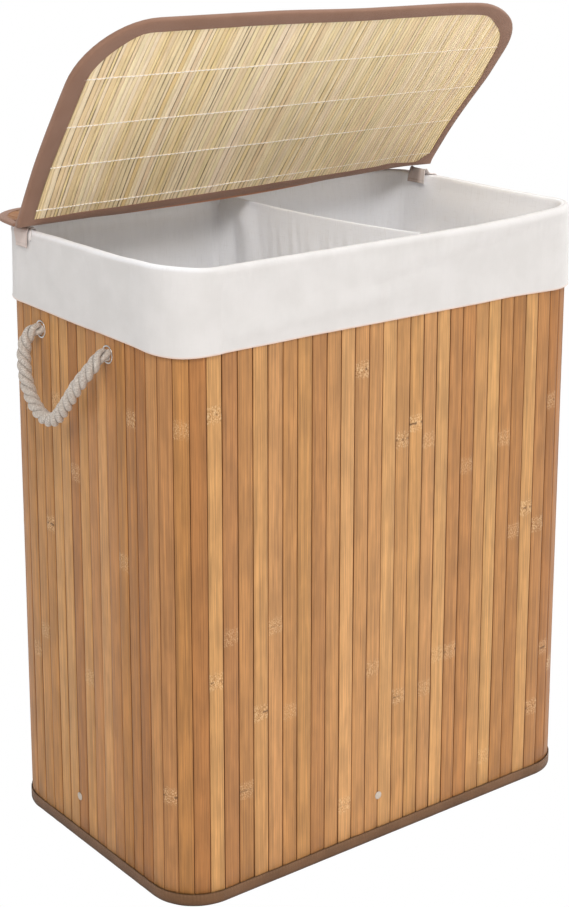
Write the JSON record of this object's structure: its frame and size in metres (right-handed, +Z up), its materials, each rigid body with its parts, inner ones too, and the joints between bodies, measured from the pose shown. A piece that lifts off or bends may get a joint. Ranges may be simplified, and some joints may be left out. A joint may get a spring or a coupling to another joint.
{
  "type": "laundry hamper",
  "caption": "Free-standing bamboo laundry hamper with a divided cotton liner, rope handles and a hinged lid that folds up from a rear flap.",
  "frame": {"origin": "middle of the hamper's underside, on the floor", "axes": "+Z up, -Y towards the front where the lid opens, +X to the right seen from the front"},
  "size_m": [0.5858, 0.3264, 0.841],
  "materials": {
    "bamboo": "satin bamboo slats with fine grain",
    "straw": "fine split straw strips with stitched threads",
    "cotton": "off-white woven cotton",
    "tape": "brown woven binding tape",
    "backing": "plain brown cloth",
    "board": "plain pressed board",
    "wire": "plain steel wire",
    "rivet": "satin pressed metal",
    "webbing": "pale woven webbing",
    "rope": "pale twisted cotton rope"
  },
  "bodies": {
    "body": {"slats_front": "bamboo", "slats_front_right_corner": "bamboo", "slats_right": "bamboo", "slats_right_back_corner": "bamboo", "slats_back": "bamboo", "slats_back_left_corner": "bamboo", "slats_left": "bamboo", "slats_left_front_corner": "bamboo", "backing_cloth": "backing", "bottom_edge_tape": "tape", "top_edge_tape": "tape", "floor_cloth": "backing", "base_board": "board", "lower_wire_frame": "wire", "upper_wire_frame": "wire", "lower_front_tab": "backing", "lower_front_rivet": "rivet", "lower_right_tab": "backing", "lower_right_rivet": "rivet", "lower_back_tab": "backing", "lower_back_rivet": "rivet", "lower_left_tab": "backing", "lower_left_rivet": "rivet", "upper_front_tab": "backing", "upper_front_rivet": "rivet", "upper_right_tab": "backing", "upper_right_rivet": "rivet", "upper_back_tab": "backing", "upper_back_rivet": "rivet", "upper_left_tab": "backing", "upper_left_rivet": "rivet", "liner_left_wall": "cotton", "liner_left_floor": "cotton", "liner_right_wall": "cotton", "liner_right_floor": "cotton", "liner_divider": "cotton", "liner_cuff": "cotton", "left_front_eyelet": "rivet", "left_front_rope_knot": "rope", "left_rear_eyelet": "rivet", "left_rear_rope_knot": "rope", "left_hinge_strap": "webbing", "right_front_eyelet": "rivet", "right_front_rope_knot": "rope", "right_rear_eyelet": "rivet", "right_rear_rope_knot": "rope", "right_hinge_strap": "webbing", "flap_slats": "bamboo", "flap_straw_mat": "straw", "flap_binding": "tape", "flap_fold_tape": "tape"},
    "lid": {"lid_slats": "bamboo", "lid_straw_mat": "straw", "lid_binding": "tape", "lid_fold_tape": "tape"},
    "left_handle": {"left_rope_handle": "rope"},
    "right_handle": {"right_rope_handle": "rope"}
  },
  "joints": [
    {"name": "lid_hinge", "type": "hinge", "parent": "body", "child": "lid", "pos_m": [0, 0.094, 0.6382], "axis": [-1, 0, 0], "range_deg": [-52, 123]},
    {"name": "left_handle_swing", "type": "hinge", "parent": "body", "child": "left_handle", "pos_m": [-0.2689, 0.014, 0.532], "axis": [0, 1, 0], "range_deg": [0, 135]},
    {"name": "right_handle_swing", "type": "hinge", "parent": "body", "child": "right_handle", "pos_m": [0.2689, 0.014, 0.532], "axis": [0, -1, 0], "range_deg": [0, 135]}
  ]
}
